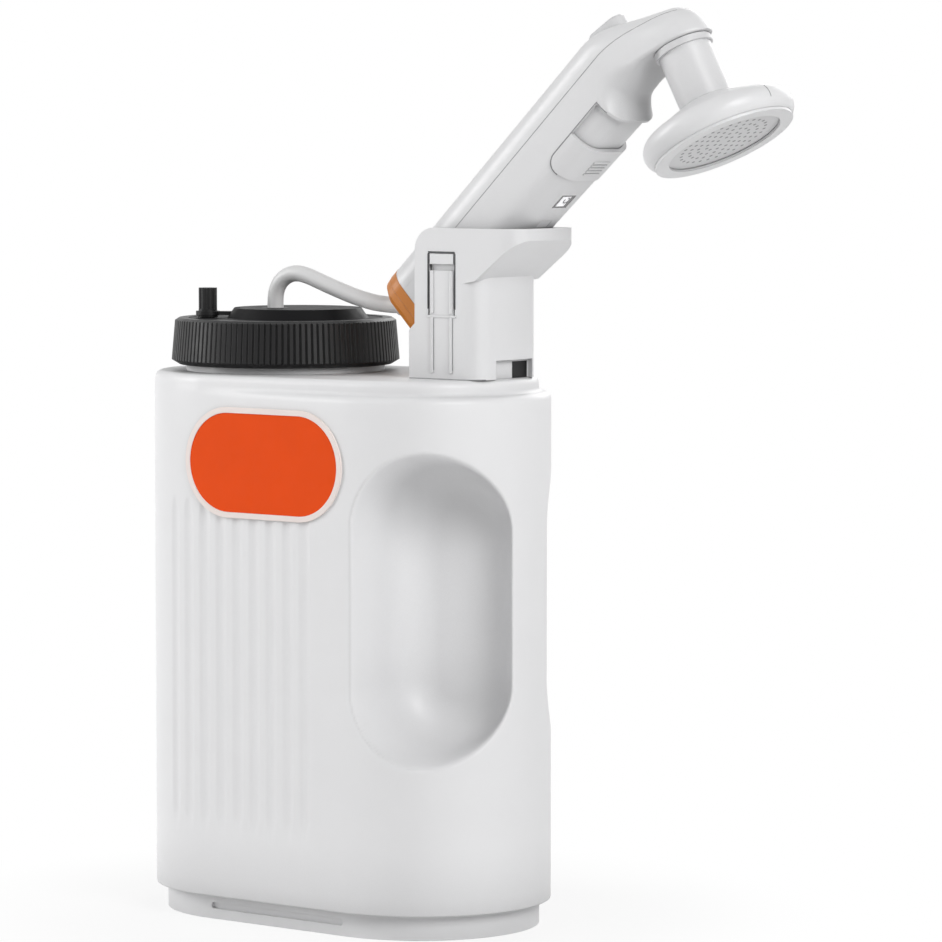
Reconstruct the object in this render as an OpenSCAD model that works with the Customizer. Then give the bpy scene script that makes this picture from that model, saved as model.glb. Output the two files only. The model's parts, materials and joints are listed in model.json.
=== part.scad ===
// Camp shower: a moulded water tank with a screw-ring lid, and a battery wand that sits in a dock on
// its deck.
// Frame: +X toward the dock, -Y toward the badge, +Z up, origin on the floor under the middle of the tank.

/* [Tank] */
// Radius of the tank's two rounded ends
tank_r = 63; // [60:0.5:66]
// Distance between the centres of the rounded ends
tank_l = 87.8; // [84:0.2:96]
// Height of the shoulder above the floor
shoulder_z = 259; // [250:1:280]
// Rise of the deck above the shoulder
deck_h = 7.5; // [5:0.5:10]
// Step in from the shoulder to the deck at the dock end
deck_step = 6; // [4:0.5:8]
// Wall of the tank
tank_wall = 2.6; // [2:0.1:3.2]
// Rounding of the shoulder and deck edges
edge_r = 3.4; // [2:0.2:4]

/* [Foot] */
// Height of the foot under the tank
foot_h = 12; // [10:0.5:16]
// How far the foot steps in under the tank
foot_step = 5.6; // [4:0.2:8]
// Wall of the foot tray
foot_wall = 3; // [2:0.2:4]
// Length of the groove in the foot's front
slot_w = 83; // [60:1:85]
// Height of the groove in the foot's front
slot_h = 3.2; // [2:0.2:4]

/* [Grip pockets] */
// Opening radius of the front pocket
grip_r = 39; // [36:0.5:40]
// Depth of the front pocket
grip_depth = 48; // [40:1:50]
// Opening radius of the rear pocket
thumb_r = 33; // [30:0.5:35]
// Depth of the rear pocket
thumb_depth = 30; // [24:1:32]
// Straight height between the round ends of both pockets
grip_straight = 74; // [60:1:80]
// Height of the pockets' middle above the floor
grip_z = 157.5; // [150:0.5:165]

/* [Flutes and badge] */
// Number of flutes on the front
flute_n = 9; // [5:1:9]
// Spacing of the flutes
flute_pitch = 10.5; // [9:0.1:11]
// Depth of a flute
flute_depth = 0.8; // [0.4:0.1:1]
// Length of a flute
flute_len = 143; // [100:1:145]
// Length of the badge
badge_w = 97.6; // [86:0.2:100]
// Height of the badge
badge_h = 53.6; // [44:0.2:55]
// Width of the badge's raised border
badge_rim = 2.8; // [2:0.1:4]

/* [Neck, lid and ring] */
// Distance of the neck from the middle of the tank
cap_off = 41.5; // [40:0.5:44]
// Inner radius of the filling mouth
mouth_r = 44; // [42:0.5:45]
// Wall of the neck
neck_wall = 5; // [4:0.1:5.5]
// Height of the neck above the deck
neck_h = 16.5; // [14:0.5:18]
// Outer radius of the knurled ring at its foot
ring_r = 56.5; // [55.5:0.1:58]
// Height of the knurled ring
ring_h = 22.8; // [20:0.2:25]
// Number of ribs on the knurled ring
knurl_n = 120; // [60:4:140]
// Depth of the knurl
knurl_d = 0.7; // [0.4:0.1:1]
// Rise of the boss on the lid
boss_h = 5; // [4:0.2:7]
// Turn of the lid about its axis, where it was dropped in
lid_turn = 38; // [0:1:60]

/* [Dock] */
// Outer width of the dock
dock_w = 50; // [48:0.5:54]
// Length of the dock's body on the deck
dock_len = 41.8; // [40:0.2:43]
// Height of the dock
dock_h = 72; // [70:0.5:74]
// Reach of the flared lip past the dock's body
lip_reach = 22.6; // [20:0.2:24]
// Width of the latch window
latch_w = 16.2; // [13:0.2:17]
// Height of the latch window
latch_h = 31; // [28:0.5:34]

/* [Wand] */
// Lean of the wand above the horizontal
wand_tilt = 44; // [43:0.5:45]
// Width of the wand
wand_w = 38; // [37:0.2:39]
// Height of the wand's back above its axis
wand_top = 19.8; // [19.4:0.1:20.2]
// Depth of the wand's belly below its axis, in the dock
wand_low = 19.6; // [19.2:0.1:20]
// Depth of the belly below the axis, at the end of the switch recess
belly_low = 22.4; // [21.8:0.1:23]
// Rounding of the wand's long edges
wand_edge = 12; // [11:0.5:13]
// Wall of the wand's shells
shell_wall = 2.2; // [1.8:0.1:2.4]
// Clearance of the wand in the dock
dock_clear = 0.4; // [0.3:0.1:0.6]
// Length of the end cap
end_len = 7.5; // [6:0.5:9]

/* [Switch and button] */
// Length of the sliding switch cover
switch_len = 20.5; // [18:0.5:21]
// Length of the recess that the cover slides in
recess_len = 40.5; // [40:0.5:42]
// Depth of the recess
recess_d = 1.8; // [1.5:0.1:1.9]
// Length of the power button
button_len = 22; // [19:0.5:23]
// Width of the power button
button_w = 11; // [9:0.5:12]

/* [Shower head] */
// Radius of the neck between the wand and the head
stem_r = 12.8; // [12:0.1:13.2]
// Length of the neck
stem_len = 29.5; // [27:0.5:32]
// Radius of the head
head_r = 37; // [34:0.5:39]
// Rounding of the head's edge
head_edge = 7.2; // [6.4:0.1:7.6]
// Radius of the spray plate
plate_r = 28.6; // [26:0.2:29]
// Radius of one spray hole
jet_r = 0.55; // [0.4:0.05:0.7]

/* [Hose] */
// Outer diameter of the hose
hose_d = 8; // [7:0.2:8.4]
// Mean radius of the coil stored in the tank
coil_r = 42; // [38:0.5:46]
// Turns of the coil stored in the tank
coil_turns = 3.5; // [1.5:1:5.5]
// Rise of the coil per turn
coil_pitch = 9; // [8.8:0.1:11]

/* [Hidden] */
$fn = 96;

// Clearances: seats that touch nothing, running fits and the cutters' overlap
gap = 0.3;
fit = 0.05;
eps = 0.01;
slice = 0.2;
far = 200;

// Tank levels and places
end_x = tank_l / 2;
deck_z = shoulder_z + deck_h;
floor_z = foot_h + 3;
cap_x = -cap_off;
deck_r = tank_r - deck_step;
lean_in = 0.3;
grip_turn = 20;
grip_at = 40;
grip_draft = 12;
grip_fillet = 22;
thumb_at = 34.5;
thumb_draft = 15;
thumb_fillet = 18;
bowl_out = 20;
flute_cut_r = 7;
flute_x0 = -61.5;
flute_z0 = 55;
badge_x = -2.8;
badge_z = shoulder_z - 34.3;
badge_sink = 1;
badge_proud = 0.9;
screw_r = 1.5;
screw_y = 36;
screw_deep = 2;
screw_head_r = 3;
screw_head_h = 2;
screw_sink = 0.6;
screw_post_r = 5;
tray_floor = 3;
slot_deep = 1.4;
slot_z = foot_h - 5.4;
spigot_h = 8;
spigot_w = 18;

// Lid and ring levels
neck_r = mouth_r + neck_wall;
neck_z = deck_z + neck_h;
gasket_h = 1.5;
lid_flange_z = neck_z + gasket_h;
lid_flange_h = 3.3;
washer_h = 1;
washer_z = lid_flange_z + lid_flange_h;
ring_z0 = deck_z + 3;
ring_z1 = ring_z0 + ring_h;
ring_taper = 2;
ring_bore = neck_r + 1.6;
lid_r = neck_r - 1.5;
lid_top = ring_z1 - gap;
boss_off = 6;
boss_r = 35;
boss_bevel = 3.5;
boss_z = lid_top + boss_h;
boss_wall = 7;
hose_off = -5;
vent_off = -38.4;
vent_hinge = -24.5;
vent_pin_z = lid_top + 3;
vent_pin_r = 1;
vent_pin_len = 10.6;
vent_barrel_r = 1.7;
vent_stem_r = 2.5;
vent_flange_r = 5.9;
vent_strap_w = 5.2;
grommet_r = 6.5;
grommet_low = 4;

// Dock places
dock_x0 = end_x + 12.5;
dock_x1 = dock_x0 + dock_len;
dock_z1 = deck_z + dock_h;
dock_corner = 10;
lip_corner = 10;
lip_x = dock_x1 + lip_reach;
flare_slope = 0.775;
flare_z = deck_z + 45.4;
flare_x = dock_x0 + 31;
flare_knee_x = dock_x1 - 2;
flare_knee_z = flare_z + 1.7;
step_x = 3.4;
step_z = deck_z + 23;
dock_wall = 3;
dock_round = 11;
half_w = wand_w / 2;
notch_y = -11;
notch_w = 29;
notch_h = 9;
notch_d = 3.2;
drain_y = 5.5;
drain_w = 12;
latch_x = dock_x0 + 11.6;
latch_z = deck_z + 29.8;
latch_back = 2.8;
latch_t = dock_w / 2 - half_w - latch_back;
latch_gap = 1;
latch_play = 0.25;
latch_pin_r = 0.8;
latch_pin_in = 1.5;
latch_pin_y = latch_t / 2 - dock_w / 2;
latch_pin_z = latch_z + 1.6;
ledge_h = 3;
ledge_drop = 9;
rib_r = 0.8;
rib_at = [0.15, 0.85];

// Wand frame: x runs up the wand, z toward its back, zero on the axis where it leaves the dock
wand_x = dock_x0 + 34.5;
wand_z = deck_z + 75;
wand_end = -58.5;
belly_x0 = 18;
belly_x1 = 92;
belly_slope = (belly_low - wand_low) / (belly_x1 - belly_x0);
belly_angle = atan(belly_slope);
bend_x = 112;
bend_angle = 29;
bend_soft = 10;
scoop_x = 102;
scoop_low = 13.8;
seam_z = 5.6;
seam_x = 110;
seam_r = 92;
seam_turn = 3;
neck_x = 134.3;
neck_drop = -14.9;
neck_lean = 16;
dome_r = 14.8;
dome_rise = 3;
dome_x = neck_x + dome_rise * sin(neck_lean);
dome_z = neck_drop + dome_rise * cos(neck_lean);
collar_r = stem_r + 1.2;
collar_h = 3.1;
heel_x = neck_x - collar_r * cos(neck_lean);
tip_corner = 2;
// Steps of the wand's loft round each corner, over the nose and over the bent end
corner_n = 8;
nose_n = 8;
tip_n = 16;

// Switch and button places on the wand
recess_x = 50;
recess_z = -9.8;
recess_corner = 7;
switch_proud = 0.7;
button_x = 108.5;
button_tilt = 10;
button_z = wand_top - 2.2;
button_rise = 4.3;
button_flange = 1.5;
button_seat = 4.8;
button_board_z = 11.2;
button_board_len = 18;
button_board_w = 28;
window_x = 34.8;
window_w = 11;
window_len = 8.8;
port_x = 19;
port_w = 8;
port_len = 4.5;
socket_w = 7;

// Pump, power and water places on the wand
pump_x0 = -50;
pump_len = 18;
pump_r = 15;
motor_r = 10.8;
motor_x0 = -30;
motor_len = 36;
shaft_r = 1.2;
cell_r = 9.2;
cell_len = 65;
cell_x0 = 14;
cell_z = 7;
board_z = -4.2;
board_t = 1.6;
outlet_y = -10.6;
outlet_z = -9.8;
outlet_r = 2.6;
inlet_z = deck_z + 33.5;
inlet_x = dock_x0 - 24.9;
inlet_r = 5;

// Head levels below the wand's collar, along the neck
head_z0 = -stem_len;
head_cone = 7.5;
head_slope = 20;
head_z1 = head_z0 - 2 * head_edge - head_cone;
plate_z = head_z1 + 1.5;
plate_t = 2.2;
rim_t = 2.6;
rim_r = head_r - 3;

// Hose route outside the tank, from the grommet to the wand's inlet
arch_route = [[-45.4, -3.1, 291], [-45.4, -3.1, 297], [-45.4, -3.1, 300], [-45, -3, 304.5],
    [-43, -3, 308.8], [-39.5, -2.8, 312], [-35, -2.6, 313.8], [-30, -2.5, 314],
    [-24.5, -2.3, 312.8], [-18.5, -2.1, 310.8], [-12, -1.8, 308.5], [-5, -1.5, 306.2],
    [2, -1.2, 304], [9, -0.9, 302.2], [16, -0.5, 300.8], [22, -0.2, 300.2],
    [26, 0, 300], [31.5, 0, 300]];
// Hose route inside the tank, from the grommet down to the stored coil
drop_route = [[-45.4, -3.1, 291], [-45.4, -3.1, 285], [-45.4, -3.1, 265], [-45.4, -3.1, 240],
    [-45.4, -3.1, 215], [-45.2, -3.1, 192], [-44, -3, 172], [-40.5, -2, 154],
    [-34, 0.5, 137], [-25.5, 4.5, 120], [-16.5, 10, 104], [-9.5, 17, 89],
    [-6, 25.5, 75], [-8, 34, 64.5], [-15.5, 40, 57.5]];
coil_z1 = floor_z + 4.9;
coil_steps = 24;
coil_sides = 6;
strainer_r = 4.6;
strainer_len = 26;

// Plan of a stadium with end radius r and a straight run of length l along X
module plan(r, l) {
    for (x = [-l / 2, l / 2]) translate([x, 0]) circle(r);
    square([l, 2 * r], center = true);
}

// Stadium block from z0 to z1 with its top edge rounded by f
module soft_block(r, l, z0, z1, f) {
    translate([0, 0, z0]) linear_extrude(z1 - f - z0) plan(r, l);
    translate([0, 0, z0]) linear_extrude(z1 - z0) plan(r - f, l);
    for (x = [-l / 2, l / 2]) translate([x, 0, z1 - f]) rotate_extrude() translate([r - f, 0])
        circle(f, $fn = 48);
    for (y = [f - r, r - f]) translate([-l / 2, y, z1 - f]) rotate([0, 90, 0])
        cylinder(h = l, r = f, $fn = 48);
}

// Round block from z0 to z1 with its top edge rounded by f
module soft_disc(r, z0, z1, f) {
    translate([0, 0, z0]) rotate_extrude() {
        square([r, z1 - z0 - f]);
        square([r - f, z1 - z0]);
        translate([r - f, z1 - z0 - f]) circle(f, $fn = 48);
    }
}

// Rectangle with rounded corners, from (x0, y0) to (x1, y1)
module soft_rect(x0, y0, x1, y1, r) {
    translate([x0 + r, y0]) square([x1 - x0 - 2 * r, y1 - y0]);
    translate([x0, y0 + r]) square([x1 - x0, y1 - y0 - 2 * r]);
    for (x = [x0 + r, x1 - r], y = [y0 + r, y1 - r]) translate([x, y]) circle(r);
}

// Obround of overall length w and height h about the origin
module obround(w, h) {
    square([w - h, h], center = true);
    for (s = [-1, 1]) translate([s * (w - h) / 2, 0]) circle(h / 2);
}

// Sweeps a half profile (radius, height) round an obround whose straight run of length l lies along Y
module bowl_sweep(l) {
    for (s = [-1, 1]) translate([0, s * l / 2, 0]) rotate_extrude() children();
    rotate([90, 0, 0]) linear_extrude(l, center = true) {
        children();
        mirror([1, 0]) children();
    }
}

// Half profile of a drafted bowl whose mouth has radius r at height 0
module bowl_profile(r, depth, draft, fillet) {
    cz = fillet - depth;
    cx = r + cz * tan(draft) - fillet / cos(draft);
    polygon([[0, -depth], [cx, -depth], [cx + fillet * cos(draft), cz - fillet * sin(draft)],
        [r + bowl_out * tan(draft), bowl_out], [0, bowl_out]]);
    intersection() {
        translate([cx, cz]) circle(fillet);
        translate([0, -far]) square([far, far + bowl_out]);
    }
}

// The same half profile grown by g, its fillet drawn in short steps
module backing_profile(r, depth, draft, fillet, g) {
    steps = 8;
    cz = fillet - depth;
    cx = r + cz * tan(draft) - fillet / cos(draft);
    f = fillet + g;
    polygon(concat([[0, -depth - g]],
        [for (i = [0:steps]) let (a = -90 + (90 - draft) * i / steps) [cx + f * cos(a), cz + f * sin(a)]],
        [[r + g / cos(draft) + bowl_out * tan(draft), bowl_out], [0, bowl_out]]));
}

module at_front_bowl() {
    translate([end_x + tank_r * sin(grip_at), -tank_r * cos(grip_at), grip_z]) rotate([0, 0, grip_turn])
        rotate([90, 0, 0]) bowl_sweep(grip_straight) children();
}

module at_rear_bowl() {
    mirror([0, 1, 0]) translate([end_x + tank_r * sin(thumb_at), -tank_r * cos(thumb_at), grip_z])
        rotate([0, 0, grip_turn]) rotate([90, 0, 0]) bowl_sweep(grip_straight) children();
}

// Round-ended groove cutter on the front wall, s along the wall from its middle
module flute(s) {
    over = max(0, -end_x - s);
    turn = over / tank_r * 180 / PI;
    x = max(s, -end_x);
    reach = tank_r + flute_cut_r - flute_depth;
    translate([x, 0, flute_z0]) rotate([0, 0, -turn]) translate([0, -reach, 0]) {
        cylinder(h = flute_len, r = flute_cut_r, $fn = 48);
        sphere(flute_cut_r, $fn = 48);
        translate([0, 0, flute_len]) sphere(flute_cut_r, $fn = 48);
    }
}

// Stands children on the front wall, drawn in its plane and extruded outward from depth d0 to d1
module on_front(x, z, d0, d1) {
    translate([x, -tank_r - d0, z]) rotate([90, 0, 0]) linear_extrude(d1 - d0) children();
}

module at_lid() {
    translate([cap_x, 0, 0]) rotate([0, 0, lid_turn]) children();
}

module at_wand() {
    translate([wand_x, 0, wand_z]) rotate([0, -wand_tilt, 0]) children();
}

module at_neck() {
    at_wand() translate([neck_x, 0, neck_drop]) rotate([0, neck_lean, 0]) children();
}

// On the belly at x, with z pointing into the wand and x up along the belly
module at_belly(x) {
    at_wand() translate([x, 0, -wand_low - (x - belly_x0) * belly_slope]) rotate([0, belly_angle, 0])
        children();
}

module at_button() {
    at_wand() translate([button_x, 0, button_z]) rotate([0, button_tilt, 0]) children();
}

// Runs a drawing in (y, z) along the wand from x0 to x1
module along_wand(x0, x1) {
    translate([x0, 0, 0]) rotate([90, 0, 90]) linear_extrude(x1 - x0) children();
}

// Cross-section of the wand in (y, z), grown by g
module wand_section(w, low, top, g) {
    soft_rect(-w / 2 - g, -low - g, w / 2 + g, top + g, wand_edge + g);
}

module wand_slice(x, w, low, top, g) {
    along_wand(x, x + slice) wand_section(w, low, top, g, $fn = 32);
}

// Smooth step from 0 to 1 as x runs from a to b
function ease(x, a, b) = let (t = min(1, max(0, (x - a) / (b - a)))) t * t * (3 - 2 * t);

// From a to b as t runs from 0 to 1
function mix(a, b, t) = a + (b - a) * t;

// Flat, then rising one in one past k, rounded over w on each side
function rise(x, k, w) = x < k - w ? 0 : x > k + w ? x - k : pow(x - k + w, 2) / (4 * w);

// Half width of the wand at x, grown by g: it narrows into the dome over the neck
function tip_half(x, g) = x > dome_x ? sqrt(pow(dome_r + g, 2) - pow(x - dome_x, 2))
    : mix(half_w, dome_r, ease(x, bend_x - bend_soft, dome_x)) + g;

// Height of its back at x: it bends down and runs into the dome
function tip_top(x, g) = let (r = dome_r + g, k = dome_x - (wand_top + g - dome_z - r / cos(bend_angle))
    / tan(bend_angle)) x > dome_x + r * sin(bend_angle) ? dome_z + sqrt(r * r - pow(x - dome_x, 2))
    : wand_top + g - tan(bend_angle) * rise(x, k, bend_soft);

// Depth of the collar's seat below the axis at x
function seat_low(x) = (x - neck_x) * tan(neck_lean) - neck_drop;

// Depth of its underside at x: down the belly, up into a scoop, then along the collar's seat
function tip_low(x, g) = let (s = x - g, t = min(1, max(0, (s - belly_x1) / (scoop_x - belly_x1))),
    belly = wand_low + belly_slope * max(0, min(x, belly_x1) - belly_x0),
    under = s > heel_x ? seat_low(x)
        : mix(scoop_low, seat_low(heel_x), max(0, (s - scoop_x) / (heel_x - scoop_x))))
    mix(belly, under, t * (2 - t)) + g;

// Its section at x, with soft upper edges and lower edges that sharpen toward the collar
function tip_ring(x, g) = let (h = tip_half(x, g), top = tip_top(x, g), low = tip_low(x, g),
    ct = min(0.97 * h, mix(wand_edge + g, h, ease(x, bend_x, dome_x))),
    cl = min(0.66 * h, mix(wand_edge + g, tip_corner + g / 2, ease(x, scoop_x, heel_x))))
    [for (c = [[h - cl, cl - low, cl, 360], [cl - h, cl - low, cl, 270], [ct - h, top - ct, ct, 180],
        [h - ct, top - ct, ct, 90]], k = [0:corner_n])
        let (a = c[3] - 90 * k / corner_n) [x, c[0] + c[2] * cos(a), c[1] + c[2] * sin(a)]];

// The wand's outer form grown by g: a loft from x0 up the belly and over the scoop to the dome
module wand_form(g, x0) {
    end = dome_x + 0.995 * (dome_r + g);
    nose = belly_x1 + min(0, g);
    stations = concat([x0, belly_x0], [for (i = [0:nose_n]) mix(nose, scoop_x, i / nose_n)],
        [for (i = [1:tip_n]) mix(scoop_x, end, sin(90 * i / tip_n))]);
    skin([for (x = stations) each tip_ring(x, g)], 4 * (corner_n + 1));
}

// Everything on the back side of the seam, which bends down over the wand's end
module back_side() {
    rotate([90, 0, 0]) linear_extrude(far, center = true) difference() {
        translate([-far, -far]) square(2 * far);
        translate([-2 * far, seam_z - 2 * far]) square([2 * far + seam_x, 2 * far]);
        translate([seam_x - seam_r * sin(seam_turn), seam_z - seam_r * cos(seam_turn)])
            circle(seam_r, $fn = 240);
    }
}

// Tube of radius r swept along points, with n sides
module swept_tube(route, r, n) {
    last = len(route) - 1;
    function ahead(i) = let (d = route[min(i + 1, last)] - route[max(i - 1, 0)]) d / norm(d);
    function side(i) = let (t = ahead(i), s = cross(t, abs(t[1]) < 0.9 ? [0, 1, 0] : [0, 0, 1]))
        s / norm(s);
    rings = [for (i = [0:last]) let (s = side(i), u = cross(s, ahead(i)))
        for (k = [0:n - 1]) route[i] + r * (cos(360 * k / n) * s + sin(360 * k / n) * u)];
    skin(rings, n);
}

// Closed skin over rings of n points each
module skin(points, n) {
    last = len(points) / n - 1;
    walls = [for (i = [0:last - 1], k = [0:n - 1]) let (a = i * n + k, b = i * n + (k + 1) % n)
        each [[a, b, a + n], [b, b + n, a + n]]];
    start = [for (k = [1:n - 2]) [0, k + 1, k]];
    finish = [for (k = [1:n - 2]) [last * n, last * n + k, last * n + k + 1]];
    polyhedron(points = points, faces = concat(walls, start, finish), convexity = 10);
}

// The stored coil winds down round the tank's left end and runs out straight toward the strainer
coil_x = -end_x;
coil_n = coil_turns * coil_steps;
function coil_point(i) = let (a = -90 - 360 * (coil_n - i) / coil_steps)
    [coil_x + coil_r * cos(a), coil_r * sin(a), coil_z1 + coil_pitch * (coil_n - i) / coil_steps];
coil_first = coil_point(0);
coil_last = coil_point(coil_n);
coil_way = [-hose_d, 0, -coil_pitch / coil_steps];
coil_start = coil_first - coil_way;
coil_route = concat([coil_start], [for (i = [0:coil_n]) coil_point(i)],
    [coil_last + [hose_d, 0, 0]]);
// Least distance between points of the coil that lie more than a quarter turn apart, less the hose
coil_self_gap = min([for (i = [0:coil_n], j = [0:coil_n]) if (j - i > coil_steps / 4)
    norm(coil_point(i) - coil_point(j))]) - hose_d;
echo(coil_self_gap = coil_self_gap);

module tank() {
    color("white") difference() {
        union() {
            soft_block(tank_r, tank_l, foot_h, shoulder_z, edge_r);
            soft_block(deck_r, tank_l, shoulder_z - 2 * edge_r, deck_z, edge_r);
            translate([-end_x, 0, 0]) soft_disc(tank_r - lean_in, shoulder_z - 3 * edge_r, deck_z, edge_r);
            translate([cap_x, 0, deck_z - 1]) cylinder(h = neck_h + 1, r = neck_r);
            translate([dock_x0 + 2 * dock_wall, -spigot_w / 2, deck_z - 1])
                cube([dock_len / 2, spigot_w, spigot_h + 1]);
        }
        difference() {
            union() {
                translate([0, 0, floor_z]) linear_extrude(shoulder_z - edge_r - floor_z)
                    plan(tank_r - tank_wall, tank_l);
                translate([0, 0, shoulder_z - 3 * edge_r]) linear_extrude(deck_h + 3 * edge_r - tank_wall)
                    plan(deck_r - tank_wall - 1, tank_l);
            }
            at_front_bowl() backing_profile(grip_r, grip_depth, grip_draft, grip_fillet, tank_wall);
            at_rear_bowl() backing_profile(thumb_r, thumb_depth, thumb_draft, thumb_fillet, tank_wall);
        }
        translate([cap_x, 0, deck_z - deck_h]) cylinder(h = deck_h + neck_h + 1, r = mouth_r);
        at_front_bowl() bowl_profile(grip_r, grip_depth, grip_draft, grip_fillet);
        at_rear_bowl() bowl_profile(thumb_r, thumb_depth, thumb_draft, thumb_fillet);
        for (i = [0:flute_n - 1]) flute(flute_x0 + i * flute_pitch);
        on_front(badge_x, badge_z, -badge_sink, 2) obround(badge_w, badge_h);
        at_screws() translate([0, 0, foot_h - 1]) cylinder(h = screw_deep + 1, r = screw_r + fit, $fn = 32);
    }
}

module foot_tray() {
    r = tank_r - foot_step;
    color("gainsboro") difference() {
        union() {
            difference() {
                linear_extrude(foot_h) plan(r, tank_l);
                translate([0, 0, tray_floor]) linear_extrude(foot_h) plan(r - foot_wall, tank_l);
            }
            at_screws() cylinder(h = foot_h, r = screw_post_r, $fn = 48);
        }
        translate([0, slot_deep - r, slot_z]) rotate([90, 0, 0]) linear_extrude(slot_deep + 1)
            obround(slot_w, slot_h);
        at_screws() cylinder(h = far, r = screw_r + fit, center = true, $fn = 32);
        at_screws() translate([0, 0, -1])
            cylinder(h = screw_sink + screw_head_h + 1, r = screw_head_r + 2 * fit, $fn = 32);
    }
}

// The four screws that hold the foot tray under the tank
module at_screws() {
    for (x = [-1, 1], y = [-1, 1]) translate([x * end_x, y * screw_y, 0]) children();
}

module foot_screws() {
    color("silver") at_screws() translate([0, 0, screw_sink]) {
        cylinder(h = screw_head_h, r = screw_head_r, $fn = 32);
        cylinder(h = foot_h + screw_deep - screw_sink - gap, r = screw_r, $fn = 32);
    }
}

module badge_frame() {
    color("mistyrose") on_front(badge_x, badge_z, -badge_sink, badge_proud) difference() {
        obround(badge_w - fit, badge_h - fit);
        obround(badge_w - 2 * badge_rim, badge_h - 2 * badge_rim);
    }
}

module badge_panel() {
    color("orangered") on_front(badge_x, badge_z, -badge_sink, badge_proud - 0.3)
        obround(badge_w - 2 * badge_rim - fit, badge_h - 2 * badge_rim - fit);
}

module lid() {
    color("dimgray") difference() {
        at_lid() union() {
            translate([0, 0, lid_flange_z]) cylinder(h = lid_flange_h, r = neck_r + 0.6);
            translate([0, 0, lid_flange_z]) cylinder(h = lid_top - lid_flange_z, r = lid_r);
            translate([boss_off, 0, lid_top - eps])
                cylinder(h = boss_h + eps, r1 = boss_r, r2 = boss_r - boss_bevel);
        }
        at_lid() {
            translate([0, 0, lid_flange_z - 1]) cylinder(h = lid_top - lid_flange_z - 2, r = mouth_r - 3);
            translate([boss_off, 0, lid_top - 3 - eps]) cylinder(h = 3.5, r = boss_r - boss_wall);
            translate([hose_off, 0, lid_top - far / 2]) cylinder(h = far, r = grommet_r - 1);
            translate([hose_off, 0, boss_z - grommet_low / 2]) cylinder(h = far, r = grommet_r + fit);
            translate([vent_off, 0, lid_top - far / 2]) cylinder(h = far, r = vent_stem_r + 1.1);
            vent_slot();
        }
    }
}

// Slot in the boss for the vent's strap, with the hole for its pin
module vent_slot() {
    w = vent_strap_w + 2 * gap;
    len = 20;
    translate([vent_hinge + vent_barrel_r + gap - len, -w / 2, lid_top + 1]) cube([len, w, 2 * boss_h]);
    translate([vent_hinge, 0, vent_pin_z]) rotate([90, 0, 0])
        cylinder(h = vent_pin_len + 2 * gap, r = vent_pin_r + fit, center = true, $fn = 32);
}

module lid_gasket() {
    color("darkgray") translate([cap_x, 0, neck_z]) difference() {
        cylinder(h = gasket_h, r = neck_r - 0.3);
        translate([0, 0, -1]) cylinder(h = gasket_h + 2, r = mouth_r + 0.3);
    }
}

module slip_washer() {
    color("whitesmoke") translate([cap_x, 0, washer_z]) difference() {
        cylinder(h = washer_h, r = ring_bore - gap);
        translate([0, 0, -1]) cylinder(h = washer_h + 2, r = lid_r + gap);
    }
}

module cap_ring() {
    color("black") translate([cap_x, 0, 0]) difference() {
        intersection() {
            translate([0, 0, ring_z0]) linear_extrude(ring_h, scale = 1 - ring_taper / ring_r)
                knurl_outline();
            rotate_extrude() polygon([[0, ring_z0], [ring_r - 4, ring_z0], [ring_r, ring_z0 + 2.4],
                [ring_r, ring_z1 - 2.5], [ring_r - ring_taper - 1.8, ring_z1], [0, ring_z1]]);
        }
        translate([0, 0, ring_z0 - 1]) cylinder(h = washer_z + washer_h - ring_z0 + 1, r = ring_bore);
        translate([0, 0, ring_z0 - 1]) cylinder(h = ring_h + 2, r = lid_r + 2 * gap);
    }
}

// Outline with one shallow V between neighbouring ribs
module knurl_outline() {
    step = 360 / knurl_n;
    polygon([for (i = [0:knurl_n - 1]) each [
        ring_r * [cos(i * step), sin(i * step)],
        ring_r * [cos((i + 0.6) * step), sin((i + 0.6) * step)],
        (ring_r - knurl_d) * [cos((i + 0.8) * step), sin((i + 0.8) * step)]]]);
}

module vent_plug() {
    flange_z = lid_top + 1.2;
    flange_t = 2.2;
    knob_h = 11.4;
    color("black") at_lid() {
        translate([vent_off, 0, flange_z]) cylinder(h = flange_t, r = vent_flange_r);
        translate([vent_off, 0, flange_z + flange_t]) difference() {
            cylinder(h = knob_h, r = 4.6);
            for (a = [0:45:315]) rotate([0, 0, a]) translate([5.6, 0, 1])
                cylinder(h = knob_h, r = 1.5, $fn = 24);
        }
        translate([vent_off, 0, lid_top + gap]) cylinder(h = flange_z - lid_top, r = 5);
        translate([vent_off, 0, lid_top - 2]) cylinder(h = 4, r = vent_stem_r, $fn = 48);
        translate([vent_off, -vent_strap_w / 2, flange_z + 0.2])
            cube([vent_hinge - vent_off, vent_strap_w, 1.8]);
        translate([vent_hinge, 0, vent_pin_z]) rotate([90, 0, 0]) {
            cylinder(h = vent_strap_w, r = vent_barrel_r, center = true, $fn = 32);
            cylinder(h = vent_pin_len, r = vent_pin_r, center = true, $fn = 32);
        }
    }
}

module hose_grommet() {
    color("dimgray") at_lid() translate([hose_off, 0, 0]) difference() {
        union() {
            translate([0, 0, boss_z - grommet_low / 2]) cylinder(h = grommet_low / 2, r = grommet_r);
            translate([0, 0, lid_top - 6]) cylinder(h = boss_z - lid_top + 6, r = grommet_r - 1 - fit);
        }
        translate([0, 0, lid_top - 10]) cylinder(h = 40, r = hose_d / 2 + 0.2, $fn = 48);
    }
}

module hose_arch() {
    color("whitesmoke") swept_tube(arch_route, hose_d / 2, 12);
}

module hose_drop() {
    color("whitesmoke") swept_tube(concat(drop_route, [coil_start - coil_way, coil_start]), hose_d / 2, 8);
}

module hose_coil() {
    color("whitesmoke") swept_tube(coil_route, hose_d / 2, coil_sides);
}

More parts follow.
